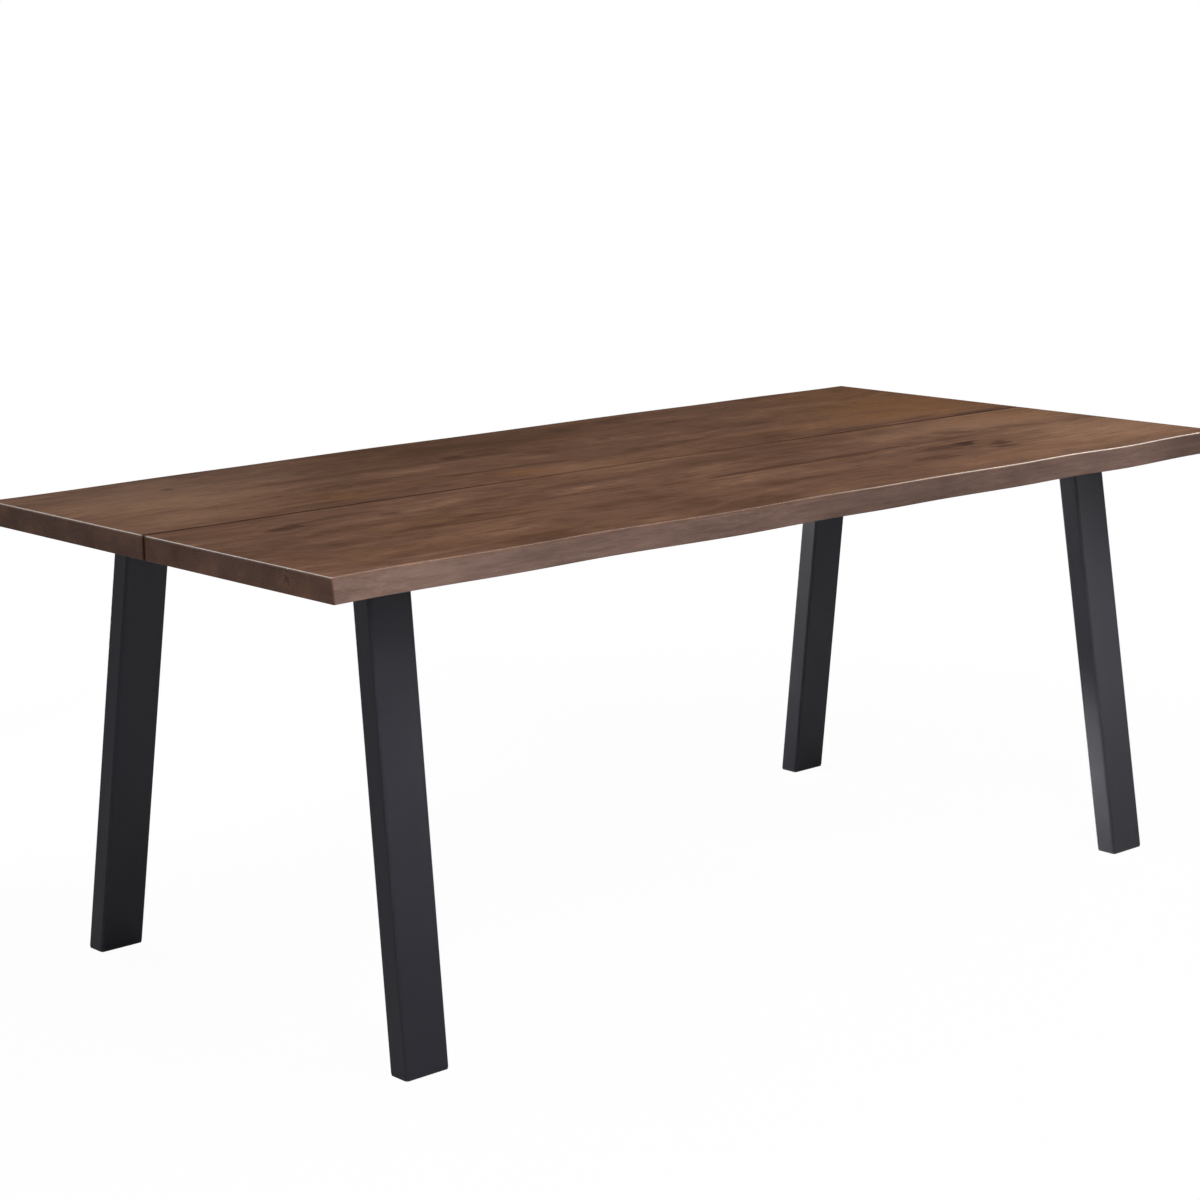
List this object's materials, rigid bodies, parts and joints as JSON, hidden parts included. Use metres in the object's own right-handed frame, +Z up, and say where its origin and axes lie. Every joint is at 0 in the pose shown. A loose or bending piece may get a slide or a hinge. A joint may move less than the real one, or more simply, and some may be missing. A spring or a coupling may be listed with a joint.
{
  "type": "plank dining table",
  "caption": "Rectangular dining table with a dark oak top of wide planks with wavy long edges and a narrow gap between them, on outward-leaning black steel tube legs.",
  "frame": {"origin": "on the floor, under the middle of the table top", "axes": "+X along the table to its right end, +Y across it to the rear edge, +Z up; the front edge faces -Y"},
  "size_m": [2, 0.9503, 0.765],
  "materials": {
    "smoked_oak": "smoked and dark-oiled, satin, with darker grain, knots and cracks",
    "black_steel": "black powder coat, matt, fine texture",
    "black_plastic": "moulded black plastic, matt",
    "black_bolts": "blackened steel, satin",
    "zinc_steel": "zinc plated, satin"
  },
  "bodies": {
    "root": {"front_outer_stave": "smoked_oak", "front_inner_stave": "smoked_oak", "rear_inner_stave": "smoked_oak", "rear_outer_stave": "smoked_oak", "front_left_leg": "black_steel", "front_left_foot": "black_plastic", "rear_left_leg": "black_steel", "rear_left_foot": "black_plastic", "front_right_leg": "black_steel", "front_right_foot": "black_plastic", "rear_right_leg": "black_steel", "rear_right_foot": "black_plastic", "left_leg_bar": "black_steel", "right_leg_bar": "black_steel", "left_batten": "black_steel", "right_batten": "black_steel", "leg_bar_bolts": "black_bolts", "leg_bar_washers": "zinc_steel", "leg_bar_inserts": "zinc_steel", "batten_bolts": "black_bolts", "batten_washers": "zinc_steel", "batten_inserts": "zinc_steel"}
  },
  "joints": []
}
